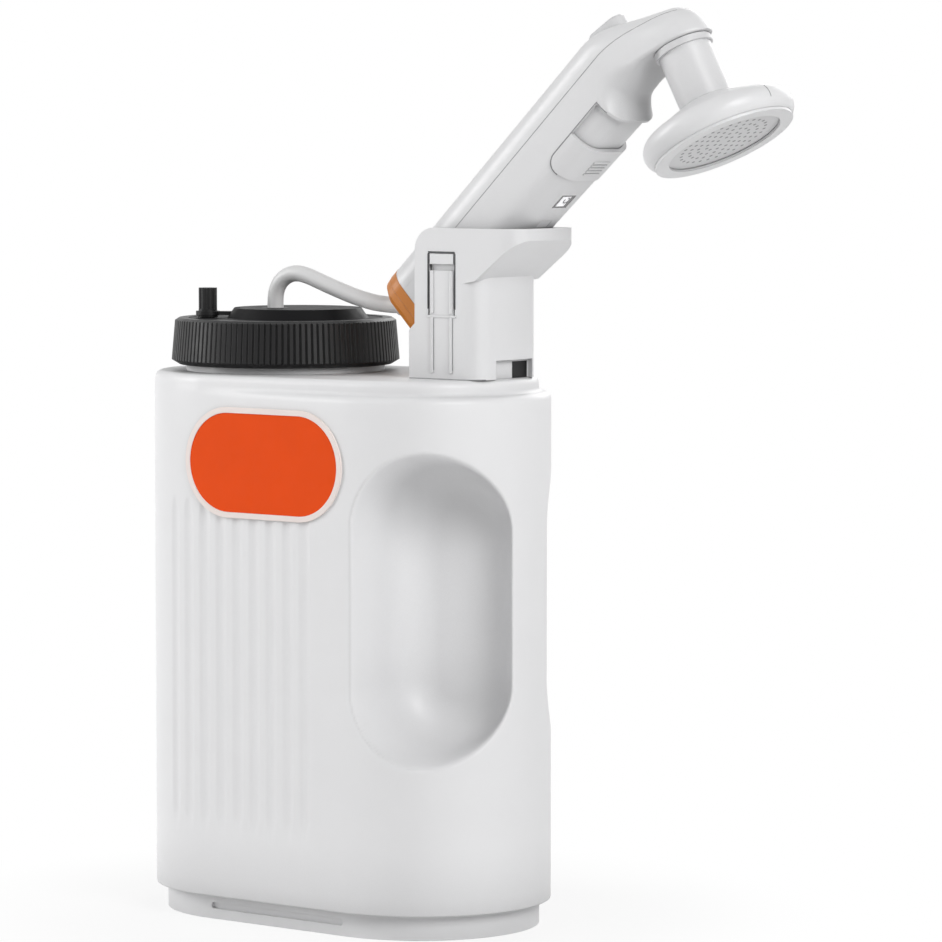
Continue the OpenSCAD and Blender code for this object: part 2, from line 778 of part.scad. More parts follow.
// Weighted strainer on the tank's floor, at the end of the hose
module strainer() {
    color("gray") translate(coil_last + [hose_d, 0, 0]) rotate([0, 90, 0]) difference() {
        cylinder(h = strainer_len, r = strainer_r, $fn = 48);
        for (k = [0:3], a = [0:60:300]) rotate([0, 0, a]) translate([strainer_r, 0, 6 + 4.6 * k])
            cube([3, 2, 2.4], center = true);
    }
}

// Dock body on the deck, and its flared cradle above
module dock() {
    color("white") difference() {
        union() {
            translate([0, 0, deck_z]) linear_extrude(dock_h - 8)
                dock_plan(dock_x0 + step_x, dock_x1, dock_corner);
            intersection() {
                translate([0, 0, deck_z]) linear_extrude(dock_h) dock_plan(dock_x0, dock_x1, dock_corner);
                side_profile() polygon([[dock_x0, deck_z], [dock_x1, deck_z], [dock_x1, step_z + step_x],
                    [dock_x0 + step_x, step_z + step_x], [dock_x0, step_z]]);
            }
            intersection() {
                translate([0, 0, deck_z]) linear_extrude(dock_h)
                    dock_plan(dock_x0 + step_x, lip_x, lip_corner);
                side_profile() polygon([[dock_x0, flare_z], [flare_x, flare_z], [flare_knee_x, flare_knee_z],
                    [lip_x, flare_knee_z + flare_slope * (lip_x - flare_knee_x)], [lip_x, dock_z1],
                    [dock_x0, dock_z1]]);
            }
            for (k = rib_at) translate([latch_x + k * latch_w, -dock_w / 2, deck_z + 3])
                cylinder(h = latch_z - deck_z - 3, r = rib_r, $fn = 24);
        }
        top_corner();
        wand_bed();
        dock_hollow();
        latch_window();
        translate([dock_x1 - notch_d, notch_y, deck_z - 1]) cube([notch_d + 1, notch_w, notch_h + 1]);
        translate([dock_x1 - notch_d - dock_wall - 1, drain_y, deck_z - 1])
            cube([dock_wall + 2, drain_w, notch_h]);
    }
}

// Plan of the dock from x0 to x1, with its right-hand corners rounded
module dock_plan(x0, x1, r) {
    translate([x0, -dock_w / 2]) square([x1 - r - x0, dock_w]);
    translate([x0, -dock_w / 2 + r]) square([x1 - x0, dock_w - 2 * r]);
    for (s = [-1, 1]) translate([x1 - r, s * (dock_w / 2 - r)]) circle(r);
}

// Extrudes a drawing in (x, z) far across
module side_profile() {
    rotate([90, 0, 0]) linear_extrude(far, center = true) children();
}

// Rounds the dock's upper corner over the wand's lower end
module top_corner() {
    x = dock_x0 + step_x;
    side_profile() difference() {
        translate([x - 1, dock_z1 - dock_round]) square([dock_round + 1, dock_round + 1]);
        translate([x + dock_round, dock_z1 - dock_round]) circle(dock_round);
    }
}

// The wand's bed: its section grown by the clearance, and open toward its back
module wand_bed() {
    at_wand() {
        along_wand(-far / 2, far / 2) wand_section(wand_w, wand_low, wand_top, dock_clear);
        along_wand(-far / 2, far / 2) translate([-half_w - dock_clear, 0])
            square([wand_w + 2 * dock_clear, 60]);
    }
}

// Hollow under the bed, open to the deck
module dock_hollow() {
    bed = wand_low + dock_clear + dock_wall;
    inner = dock_w / 2 - dock_wall;
    intersection() {
        translate([0, 0, deck_z - 1]) linear_extrude(dock_h) translate([dock_x0 + dock_wall, -inner])
            square([dock_len - 2 * dock_wall - notch_d, 2 * inner]);
        at_wand() translate([-far / 2, -half_w, -bed - far]) cube([far, wand_w, far]);
        translate([-far, -far, 0]) cube([2 * far, 2 * far, flare_z]);
    }
}

// Window for the latch tab, and the holes for its pins
module latch_window() {
    translate([latch_x, -dock_w / 2 - 1, latch_z]) cube([latch_w, dock_w / 2 - half_w, latch_h]);
    latch_pins(latch_pin_in + gap, latch_pin_r + fit);
}

// Pins of radius r across the latch window, running past each of its sides by reach
module latch_pins(reach, r) {
    translate([latch_x - reach, latch_pin_y, latch_pin_z]) rotate([0, 90, 0])
        cylinder(h = latch_w + 2 * reach, r = r, $fn = 32);
}

// Spring tab in the dock's front, hinged at its foot, with a finger ledge under its top bar
module dock_latch() {
    x0 = latch_x + latch_gap;
    z0 = latch_z + latch_play;
    w = latch_w - 2 * latch_gap;
    front = -dock_w / 2;
    ledge_z = latch_z + latch_h - ledge_drop;
    color("whitesmoke") difference() {
        union() {
            translate([x0, front, z0]) cube([w, latch_t, latch_h - latch_play - latch_gap]);
            latch_pins(latch_pin_in, latch_pin_r);
            for (k = rib_at) translate([latch_x + k * latch_w, front, latch_pin_z])
                cylinder(h = ledge_z - latch_pin_z, r = rib_r, $fn = 24);
        }
        translate([x0 - 1, front - 1, ledge_z]) cube([w + 2, 1 + latch_t / 2, ledge_h]);
    }
}

module wand_shell() {
    color("whitesmoke") at_wand() difference() {
        wand_form(0, wand_end);
        back_side();
        wand_form(-shell_wall, wand_end - 1);
        switch_recess();
        at_wand_belly(window_x) translate([-window_len / 2, -window_w / 2, -1])
            cube([window_len, window_w, 5]);
        at_wand_belly(port_x) translate([-port_len / 2, -port_w / 2, -1]) cube([port_len, port_w, 5]);
        translate([neck_x, 0, neck_drop]) rotate([0, neck_lean, 0]) translate([0, 0, -5])
            cylinder(h = 5 + shell_wall + dome_rise, r = stem_r + gap);
    }
}

// On the belly in the wand's own frame
module at_wand_belly(x) {
    translate([x, 0, -wand_low - (x - belly_x0) * belly_slope]) rotate([0, belly_angle, 0]) children();
}

// Shallow saddle round the belly that the switch cover slides in
module switch_recess() {
    difference() {
        switch_side(recess_x, recess_x + recess_len, recess_z, recess_corner);
        belly_prism(-recess_d);
    }
}

// Everything below top from x0 to x1 along the wand, with the lower end's corner rounded by r
module switch_side(x0, x1, top, r) {
    side_profile() {
        translate([x0, top - far]) square([x1 - x0, far - r]);
        translate([x0 + r, top - far]) square([x1 - x0 - r, far]);
        translate([x0 + r, top - r]) circle(r);
    }
}

// The straight, tapering stretch of the wand, grown by g
module belly_prism(g) {
    hull() {
        wand_slice(belly_x0, wand_w, wand_low, wand_top, g);
        wand_slice(belly_x1 + 5, wand_w, belly_low + 5 * belly_slope, wand_top, g);
    }
}

module wand_cover() {
    color("white") at_wand() difference() {
        intersection() {
            wand_form(0, wand_end);
            back_side();
        }
        wand_form(-shell_wall, wand_end - 1);
        translate([button_x, 0, button_z]) rotate([0, button_tilt, 0]) translate([0, 0, -20])
            linear_extrude(40) obround(button_len + 2 * gap, button_w + 2 * gap);
    }
}

module end_cap() {
    plug = 5;
    color("peru") difference() {
        at_wand() {
            hull() {
                wand_slice(wand_end - slice, wand_w, wand_low, wand_top, 0);
                wand_slice(wand_end - end_len / 2, wand_w, wand_low, wand_top, -0.4);
                wand_slice(wand_end - end_len, wand_w, wand_low, wand_top, -4);
            }
            along_wand(wand_end - 1, wand_end + plug)
                wand_section(wand_w, wand_low, wand_top, -shell_wall - gap);
        }
        at_wand() translate([wand_end - 3, 0, 0]) rotate([0, 90, 0]) cylinder(h = plug + 4, r = 6);
        translate([inlet_x - 30, 0, inlet_z]) rotate([0, 90, 0]) cylinder(h = 44, r = inlet_r + fit);
    }
}

// Slanted hose inlet through the end cap
module inlet_spigot() {
    color("gainsboro") translate([inlet_x, 0, inlet_z]) rotate([0, 90, 0]) difference() {
        cylinder(h = 13.5, r = inlet_r);
        translate([0, 0, 1]) cylinder(h = 20, r = inlet_r - 2);
    }
}

// Places children on the pump's axis at x, with z along the wand
module on_axis(x) {
    at_wand() translate([x, 0, 0]) rotate([0, 90, 0]) children();
}

module inlet_seal() {
    color("dimgray") on_axis(wand_end + 1.5) difference() {
        cylinder(h = 1.6, r = 6 - fit);
        translate([0, 0, -1]) cylinder(h = 4, r = 4.5 + fit);
    }
}

module pump_housing() {
    color("darkslategray") on_axis(pump_x0) difference() {
        union() {
            cylinder(h = pump_len, r = pump_r);
            translate([0, 0, wand_end + 1 - pump_x0]) cylinder(h = pump_x0 - wand_end, r = 4.5);
        }
        translate([0, 0, 2]) cylinder(h = pump_len - 4, r = pump_r - 2.5);
        translate([0, 0, -20]) cylinder(h = 30, r = 3);
        cylinder(h = pump_len + 1, r = shaft_r + 0.4);
    }
}

module impeller() {
    blade_n = 6;
    color("ivory") on_axis(pump_x0 + 4) difference() {
        union() {
            translate([0, 0, 6]) cylinder(h = 2, r = 11);
            cylinder(h = 7, r = 3);
            for (a = [0:360 / blade_n:359]) rotate([0, 0, a]) translate([2, -0.6, 1]) cube([8.5, 1.2, 6]);
        }
        translate([0, 0, -1]) cylinder(h = 20, r = shaft_r + 0.02);
    }
}

module pump_shaft() {
    color("silver") on_axis(pump_x0 + 5) cylinder(h = motor_x0 + 6 - pump_x0 - 5, r = shaft_r);
}

module pump_motor() {
    color("silver") on_axis(motor_x0) difference() {
        union() {
            cylinder(h = motor_len, r = motor_r);
            translate([0, 0, pump_x0 + pump_len - motor_x0]) cylinder(h = 3, r = 5);
        }
        translate([0, 0, -5]) cylinder(h = 12, r = shaft_r + fit);
    }
}

// Water line from the pump along the wand, over into the neck
module outlet_tube() {
    knee = 70;
    drop = 8;
    top = [neck_x, 0, neck_drop] + (dome_rise + drop) * [sin(neck_lean), 0, cos(neck_lean)];
    reach = top - [knee, outlet_y, outlet_z];
    color("lightgray") at_wand() {
        translate([pump_x0 + pump_len, outlet_y, outlet_z]) rotate([0, 90, 0])
            cylinder(h = knee - pump_x0 - pump_len, r = outlet_r, $fn = 48);
        translate([knee, outlet_y, outlet_z]) {
            sphere(outlet_r + 0.8, $fn = 48);
            rotate([0, acos(reach[2] / norm(reach)), atan2(reach[1], reach[0])])
                cylinder(h = norm(reach), r = outlet_r, $fn = 48);
        }
        translate(top) {
            sphere(outlet_r + 0.8, $fn = 48);
            rotate([0, neck_lean, 0]) translate([0, 0, -drop]) cylinder(h = drop, r = outlet_r, $fn = 48);
        }
    }
}

module battery_cell() {
    color("royalblue") at_wand() translate([cell_x0, 0, cell_z]) rotate([0, 90, 0])
        cylinder(h = cell_len, r = cell_r);
}

module battery_cradle() {
    inner = half_w - shell_wall - gap;
    color("dimgray") at_wand() difference() {
        translate([cell_x0 - 3, -inner, board_z]) cube([cell_len + 6, 2 * inner, seam_z - 1 - board_z]);
        translate([cell_x0 - 0.1, 0, cell_z]) rotate([0, 90, 0])
            cylinder(h = cell_len + 0.2, r = cell_r + 0.1);
    }
}

module circuit_board() {
    color("darkgreen") at_wand() translate([cell_x0 - 2, -4, board_z - board_t])
        cube([cell_len + 8, 19, board_t]);
}

// Reed contact under the board, worked by a magnet in the switch cover
module reed_switch() {
    color("lightblue") at_wand() translate([recess_x + 6, 6, board_z - board_t - 2]) rotate([0, 90, 0])
        cylinder(h = 14, r = 2, $fn = 32);
}

// Switch cover: a saddle round the belly, with a rounded corner and grip ribs
module slide_switch() {
    x0 = recess_x + gap;
    color("whitesmoke") at_wand() difference() {
        union() {
            intersection() {
                switch_side(x0, x0 + switch_len, recess_z - gap, recess_corner - gap);
                belly_prism(switch_proud);
            }
            for (i = [0:4]) at_wand_belly(x0 + 5 + 2 * i) translate([0, 0, -switch_proud])
                rotate([90, 0, 0]) cylinder(h = 12, r = 0.6, center = true, $fn = 24);
        }
        belly_prism(gap - recess_d);
    }
}

module display_window() {
    color("black") at_belly(window_x) translate([0, 0, 0.1]) linear_extrude(shell_wall - 0.2)
        square([window_len - 2 * fit, window_w - 2 * fit], center = true);
}

module display_module() {
    low = wand_low + (window_x - belly_x0) * belly_slope - shell_wall - 0.6;
    color("darkslategray") at_wand() translate([window_x - 5, -5, -low])
        cube([10, 10, low + board_z - board_t]);
}

module charge_socket() {
    low = wand_low - shell_wall - 0.3;
    color("silver") at_wand() translate([port_x - 1.6, -socket_w / 2, -low])
        cube([3.2, socket_w, low + board_z - board_t]);
}

module port_plug() {
    color("gray") at_belly(port_x) translate([0, 0, 0.1]) linear_extrude(shell_wall - 0.2)
        square([port_len - 2 * fit, port_w - 2 * fit], center = true);
}

module power_button() {
    color("white") at_button() {
        translate([0, 0, -button_seat - button_flange]) linear_extrude(button_flange)
            obround(button_len + 2, button_w + 3);
        translate([0, 0, -button_seat - eps]) linear_extrude(button_seat + button_rise - 1)
            obround(button_len, button_w);
        translate([0, 0, button_rise - 1 - eps]) linear_extrude(1) obround(button_len - 2, button_w - 2);
    }
}

module button_switch() {
    color("dimgray") at_button() translate([-3, -3, -button_board_z]) cube([6, 6, 3.4]);
}

module button_board() {
    color("darkgreen") at_button()
        translate([-button_board_len / 2, -button_board_w / 2, -button_board_z - board_t])
        cube([button_board_len, button_board_w, board_t]);
}

module stem() {
    color("whitesmoke") at_neck() difference() {
        translate([0, 0, -stem_len]) cylinder(h = stem_len + dome_rise, r = stem_r);
        translate([0, 0, -stem_len - 1]) cylinder(h = stem_len + 1, r = stem_r - 3);
        translate([0, 0, -stem_len - 1]) cylinder(h = far / 2, r = outlet_r - 0.6);
    }
}

module stem_collar() {
    color("lightgray") at_neck() translate([0, 0, -collar_h - gap]) difference() {
        cylinder(h = collar_h, r = collar_r);
        translate([0, 0, -1]) cylinder(h = collar_h + 2, r = stem_r + fit);
    }
}

module head_shell() {
    color("whitesmoke") at_neck() difference() {
        head_form();
        translate([0, 0, head_z1 - 1]) cylinder(h = rim_t + 1 + gap, r = rim_r + fit);
        translate([0, 0, head_z1 - 1]) cylinder(h = head_edge + 5, r = plate_r + gap);
        translate([0, 0, head_z1]) cylinder(h = far / 2, r = stem_r - 3);
    }
}

// The head's outer form: a shallow cone down from the neck into a rounded edge
module head_form() {
    cx = head_r - head_edge;
    cz = head_z1 + head_edge;
    rotate_extrude() polygon([[0, head_z0], [stem_r, head_z0],
        [cx + 0.98 * head_edge * sin(head_slope), cz + 0.98 * head_edge * cos(head_slope)],
        [cx, cz], [cx, head_z1], [0, head_z1]]);
    rotate_extrude() translate([cx, cz]) circle(head_edge);
}

module head_gasket() {
    color("darkgray") at_neck() translate([0, 0, plate_z + plate_t]) difference() {
        cylinder(h = 1.2, r = plate_r);
        translate([0, 0, -1]) cylinder(h = 4, r = plate_r - 3);
    }
}

module spray_plate() {
    rows = 5;
    color("lightgray") at_neck() translate([0, 0, plate_z]) difference() {
        cylinder(h = plate_t, r = plate_r);
        for (k = [1:rows]) let (n = 6 * k, r = 4.2 * k)
            for (i = [0:n - 1]) rotate([0, 0, (i + 0.5 * (k % 2)) * 360 / n]) translate([r, 0, -1])
                cylinder(h = plate_t + 2, r = jet_r, $fn = 16);
    }
}

module head_rim() {
    color("whitesmoke") at_neck() translate([0, 0, head_z1]) difference() {
        cylinder(h = rim_t, r = rim_r);
        translate([0, 0, -1]) cylinder(h = rim_t + 2, r = plate_r - 1);
        translate([0, 0, plate_z - head_z1 - gap]) cylinder(h = rim_t, r = plate_r + gap);
    }
}

tank();
foot_tray();
foot_screws();
badge_frame();
badge_panel();
lid();
lid_gasket();
slip_washer();
cap_ring();
vent_plug();
hose_grommet();
hose_arch();
hose_drop();
hose_coil();
strainer();
dock();
dock_latch();
wand_shell();
wand_cover();
end_cap();
inlet_spigot();
inlet_seal();
pump_housing();
impeller();
pump_shaft();
pump_motor();
outlet_tube();
battery_cell();
battery_cradle();
circuit_board();
reed_switch();
slide_switch();
display_window();
display_module();
charge_socket();
port_plug();
power_button();
button_switch();
button_board();
stem();
stem_collar();
head_shell();
head_gasket();
spray_plate();
head_rim();
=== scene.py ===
"""Looks of the camp shower: finishes, hose, small parts and studio, in the part's own frame."""

import json
import math

import bmesh
import bpy
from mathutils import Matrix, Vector
from mathutils.bvhtree import BVHTree
from mathutils.geometry import interpolate_bezier


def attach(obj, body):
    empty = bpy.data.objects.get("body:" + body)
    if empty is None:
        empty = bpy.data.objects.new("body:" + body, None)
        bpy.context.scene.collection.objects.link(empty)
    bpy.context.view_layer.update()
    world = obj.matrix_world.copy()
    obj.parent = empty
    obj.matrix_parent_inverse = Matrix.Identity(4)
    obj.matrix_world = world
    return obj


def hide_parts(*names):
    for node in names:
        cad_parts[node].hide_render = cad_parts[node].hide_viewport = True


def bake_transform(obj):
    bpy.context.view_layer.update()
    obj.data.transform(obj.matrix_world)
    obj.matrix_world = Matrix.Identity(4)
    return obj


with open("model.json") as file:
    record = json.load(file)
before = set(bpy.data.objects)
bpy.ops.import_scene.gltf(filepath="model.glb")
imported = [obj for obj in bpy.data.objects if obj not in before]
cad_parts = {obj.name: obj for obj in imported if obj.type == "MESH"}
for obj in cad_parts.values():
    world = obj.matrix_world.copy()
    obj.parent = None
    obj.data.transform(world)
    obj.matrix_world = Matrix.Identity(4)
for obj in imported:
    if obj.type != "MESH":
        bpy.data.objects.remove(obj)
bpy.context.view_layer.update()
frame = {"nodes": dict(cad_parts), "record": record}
nodes = frame["nodes"]
MM = 0.001

# The photograph's camera, in metres, with its lens in millimetres
CAMERA_AT = (1.4853, -1.8148, 0.3946)
CAMERA_LOOKS_AT = (0.0464, 0.0361, 0.2179)
CAMERA_LENS = 183.4

# The studio, in metres: each softbox has its place, width, height and watts
LIT_MIDDLE = (0.04, 0, 0.2)
SOFTBOXES = {
    "key": ((1.7, -0.6, 1.2), 0.8, 1.0, 22),
    "fill": ((-1.65, -1.1, 0.9), 0.7, 1.2, 24),
    "rear": ((-0.3, 1.9, 1.1), 1.4, 1.0, 12),
    "top": ((0.1, 0.1, 1.6), 1.4, 1.0, 1),
}
AMBIENT = 0.15
FLOOR_HALF = 30
FLOOR_GREY = 0.86
FLOOR_FADE = (0.1, 0.24)
FLOOR_GLOW = (0.85, 1)

# The hose, with its route in millimetres
HOSE_D = 8 * MM
HOSE_SIDES = 24
ARCH_ROUTE = [
    (-45.4, -3.1, 291), (-45.4, -3.1, 297), (-45.4, -3.1, 300), (-45, -3, 304.5), (-43, -3, 308.8),
    (-39.5, -2.8, 312), (-35, -2.6, 313.8), (-30, -2.5, 314), (-24.5, -2.3, 312.8), (-18.5, -2.1, 310.8),
    (-12, -1.8, 308.5), (-5, -1.5, 306.2), (2, -1.2, 304), (9, -0.9, 302.2), (16, -0.5, 300.8),
    (22, -0.2, 300.2), (26, 0, 300), (31.5, 0, 300),
]
DROP_ROUTE = [
    (-45.4, -3.1, 291), (-45.4, -3.1, 285), (-45.4, -3.1, 265), (-45.4, -3.1, 240), (-45.4, -3.1, 215),
    (-45.2, -3.1, 192), (-44, -3, 172), (-40.5, -2, 154), (-34, 0.5, 137), (-25.5, 4.5, 120),
    (-16.5, 10, 104), (-9.5, 17, 89), (-6, 25.5, 75), (-8, 34, 64.5), (-15.5, 40, 57.5),
]
COIL_R = 42
COIL_TURNS = 3.5
COIL_PITCH = 9
COIL_LOW = 19.9
COIL_X = -43.9
COIL_STEPS = 24
COIL_LEAD = 8

# The tank's skin, in millimetres: its plan is a stadium with round ends about +-TANK_END on X
TANK_R = 63
TANK_END = 43.9
TANK_LOOP = 4 * TANK_END + 2 * math.pi * TANK_R
TANK_FOOT = ((62.2, 12), (62.8, 12.3))
EDGE_R = 3.4
EDGE_STEPS = 4
SHOULDER_Z = 259
DECK_Z = 266.5
DECK_R = 57
COVE = [(58.4, 259.2), (57.3, 260), (57, 261.2)]
PLAIN_R = 62.7
PLAIN_WALL = [
    (63, 255.6), (62.98, 256.6), (62.95, 257.5), (62.92, 258.3), (62.9, 259), (62.85, 259.8), (62.8, 260.6),
    (62.75, 261.4),
]
NECK_X = -41.5
NECK_PROFILE = ((49, 266), (49, 282.4), (48.4, 283), (44.6, 283), (44, 282.4), (44, 262))
NECK_SIDES = 96
POCKET_Z = 157.5
POCKET_RUN = 37
POCKET_AXIS = math.radians(20)
FRONT_POCKET = dict(
    side=-1, turn=40, radius=37.5, shift=1.5, depth=48, draft=12, fillet=22, lip=(2.5, 14)
)
REAR_POCKET = dict(
    side=1, turn=34.5, radius=33, shift=0, depth=30, draft=15, fillet=18, lip=(2.5, 12)
)
FLUTES = [-61.5 + 10.5 * i for i in range(9)]
FLUTE_R = 7
FLUTE_DEPTH = 0.8
FLUTE_Z = (55, 198)
FLUTE_FADE = 0.35
FLUTED = (-66, 27)
# Spacing of the skin's columns: fluted front, rest of the front, right end, then back and left end
FLUTED_STEP = 0.75
FRONT_STEP = 0.9
END_STEP = 1.1
BACK_STEP = 4
# Heights of the skin's rows, or their start, stop and step
FOOT_ROWS = (13, 20, 30, 40, 47)
FLUTE_FOOT_ROWS = (50, 57, 0.9)
LOWER_ROWS = (57, 61, 66, 71)
POCKET_ROWS = (75, 241, 1.3)
UPPER_ROWS = (241, 246, 251)

# The wand's frame, seam, switch recess, end and window, in millimetres
WAND_AT = (90.9, 0, 341.5)
WAND_TILT = math.radians(44)
FAR = 60
LINE_SIDES = 6
GAP_SIDES = 8
SEAM_X = (-20, 156)
SEAM_STEP = 2
SEAM_Z = 5.6
SEAM_BEND = (105.2, -86.3)
SEAM_R = 92
SEAM_LINE = 0.14
RECESS_X = (50, 90.5)
RECESS_Z = -9.8
RECESS_CORNER = 7
RECESS_OFF = 0.4
RECESS_DROPS = (1, 2.5, 4, 5.5, 7)
# Radius of the painted shadow line round the switch's recess
RECESS_SHADE_LINE = 0.22
WAND_END = -58.5
END_MIDDLE = 0.1
END_BAND = (0.1, 5)
BAND_LIFT = (-0.3, 0.12)
BAND_SIDES = 96
WINDOW_X = 34.8
WINDOW_Z = -20.13
BELLY_SLOPE = 0.0378
LIT_X = (-3.3, 3.5)
LIT_Y = ((-3.4, 2.7), (-3.8, 2.7))
LIT_LIFT = (0.02, 0.08)
SIGN_AT = (0.9, 0.9)
SIGN_R = 1.7
SIGN_LINE = 0.35

# The shower head, in the frame of its neck, in millimetres
NECK_AT = (134.3, -14.9)
NECK_LEAN = math.radians(16)
PLATE_Z = -49.9
JET_ROWS = 5
JET_PITCH = 4.2
# The grey discs in the jet holes are painted shade that makes the holes read dark
JET_R = 0.85
JET_Z = (PLATE_Z - 0.04, PLATE_Z + 0.5)
JET_SIDES = 10
HEAD_MARK_TURN = math.radians(-9)
HEAD_MARK_Z = (-46, -39)
HEAD_MARK_STEP = 0.7
HEAD_LINE = 0.2

# The dock's latch, ribs, foot and drain, in millimetres
DOCK_FRONT = -25
LATCH_X = (68, 84.2)
LATCH_Z = (300, 326.9)
LATCH_CORNER = 1
LATCH_SUNK = 0.15
LATCH_LINE = 0.42
WEB_Z = (295.9, 297.1)
WEB_PROUD = (0.3, 0.1)
WEB_WIDER = 0.6
RIB_LINES = {"rib_line_left": 71.4, "rib_line_right": 82.8}
RIB_Z = (271, 298.5)
RIB_STEP = 3
RIB_LINE = 0.16
FOOT_X = 56.8
FOOT_Z = 266.7
FOOT_CORNER = (88.2, -15, 10)
FOOT_LINE = 0.2
# A dark plate in the dock's drain: painted shade for its opening
DRAIN_SHADE = ((94.3, 5.6, 266.7), (94.8, 17.4, 274.4))

# The finishes' noise, and the reach in millimetres of the painted shade in their hollows
NOISE_RANGE = (0.3, 0.7)
MOTTLE_SCALE = 45
GLOSS_SCALE = 220
GLOSS_SPREAD = 0.12
PAINTED_SHADE_REACH = 45

# Corners of a solid within WELD millimetres are one, and edges sharper than CRISP stay sharp
WELD = 0.002
CRISP = math.radians(32)


# Shapes

def span(start, stop, step):
    """Evenly spaced values from start up to, but not including, stop."""
    count = max(1, round((stop - start) / step))
    return [start + (stop - start) * i / count for i in range(count)]


def arc(x, y, radius, start, stop, steps):
    """Points of a flat arc round (x, y), between two angles in degrees."""
    turns = [math.radians(start + (stop - start) * i / steps) for i in range(steps + 1)]
    return [(x + radius * math.cos(a), y + radius * math.sin(a)) for a in turns]


def circle(sides):
    """Angles round a full turn."""
    return [2 * math.pi * k / sides for k in range(sides)]


def new_object(name, mesh):
    obj = bpy.data.objects.new(name, mesh)
    bpy.context.scene.collection.objects.link(obj)
    return obj


def bridge(bm, rings, caps=True, smooth=True):
    """Faces between neighbouring rings of corners, and over both ends."""
    for low, high in zip(rings, rings[1:]):
        for k in range(len(low)):
            j = (k + 1) % len(low)
            bm.faces.new((low[k], low[j], high[j], high[k])).smooth = smooth
    if caps:
        bm.faces.new(list(reversed(rings[0])))
        bm.faces.new(rings[-1])


def built(name, bm):
    """A new object from a finished mesh in the making, which is let go."""
    mesh = bpy.data.meshes.new(name)
    bm.to_mesh(mesh)
    bm.free()
    return new_object(name, mesh)


def tube(name, line, radius, sides):
    """A closed round tube along a line of points."""
    bm = bmesh.new()
    last = len(line) - 1
    rings = []
    side = None
    for i, point in enumerate(line):
        ahead = (line[min(i + 1, last)] - line[max(i - 1, 0)]).normalized()
        if side is None:
            side = ahead.orthogonal().normalized()
        side = (side - ahead * side.dot(ahead)).normalized()
        up = ahead.cross(side)
        rings.append([
            bm.verts.new(point + radius * (math.cos(a) * side + math.sin(a) * up)) for a in circle(sides)
        ])
    bridge(bm, rings)
    return built(name, bm)


def block(name, plan, heights, finish, body):
    """An upright block over a plan of four corners, in millimetres."""
    corners = [Vector((x, y, z)) * MM for z in heights for x, y in plan]
    return six_sided(name, corners, finish, body)


def six_sided(name, corners, finish, body):
    """A closed six-sided piece from its four lower and four upper corners."""
    mesh = bpy.data.meshes.new(name)
    faces = [(3, 2, 1, 0), (4, 5, 6, 7), (0, 1, 5, 4), (1, 2, 6, 5), (2, 3, 7, 6), (3, 0, 4, 7)]
    mesh.from_pydata(corners, [], faces)
    return dress(new_object(name, mesh), finish, body)


# Finishes

def rgb(red, green, blue):
    """Linear colour of an sRGB colour given from 0 to 255."""
    def linear(value):
        value /= 255
        return value / 12.92 if value <= 0.04045 else ((value + 0.055) / 1.055) ** 2.4
    return (linear(red), linear(green), linear(blue))


def add_noise(tree, scale, detail):
    """A noise texture on the object's own coordinates."""
    place = tree.nodes.new("ShaderNodeTexCoord")
    noise = tree.nodes.new("ShaderNodeTexNoise")
    noise.inputs["Scale"].default_value = scale
    noise.inputs["Detail"].default_value = detail
    tree.links.new(place.outputs["Object"], noise.inputs["Vector"])
    return noise.outputs["Fac"]


def add_range(tree, source, low, high):
    """Maps a noise to the range from low to high."""
    spread = tree.nodes.new("ShaderNodeMapRange")
    spread.inputs["From Min"].default_value = NOISE_RANGE[0]
    spread.inputs["From Max"].default_value = NOISE_RANGE[1]
    spread.inputs["To Min"].default_value = low
    spread.inputs["To Max"].default_value = high
    tree.links.new(source, spread.inputs["Value"])
    return spread.outputs["Result"]


def add_painted_shade(tree, colour, painted_shade):
    """A colour with painted shade: darker in hollows and near other pieces."""
    open_sky = tree.nodes.new("ShaderNodeAmbientOcclusion")
    open_sky.samples = 8
    open_sky.inputs["Distance"].default_value = PAINTED_SHADE_REACH * MM
    level = tree.nodes.new("ShaderNodeMapRange")
    level.inputs["To Min"].default_value = 1 - painted_shade
    level.inputs["To Max"].default_value = 1
    tree.links.new(open_sky.outputs["AO"], level.inputs["Value"])
    darker = tree.nodes.new("ShaderNodeVectorMath")
    darker.operation = "SCALE"
    tree.links.new(colour, darker.inputs[0])
    tree.links.new(level.outputs["Result"], darker.inputs["Scale"])
    return darker.outputs["Vector"]


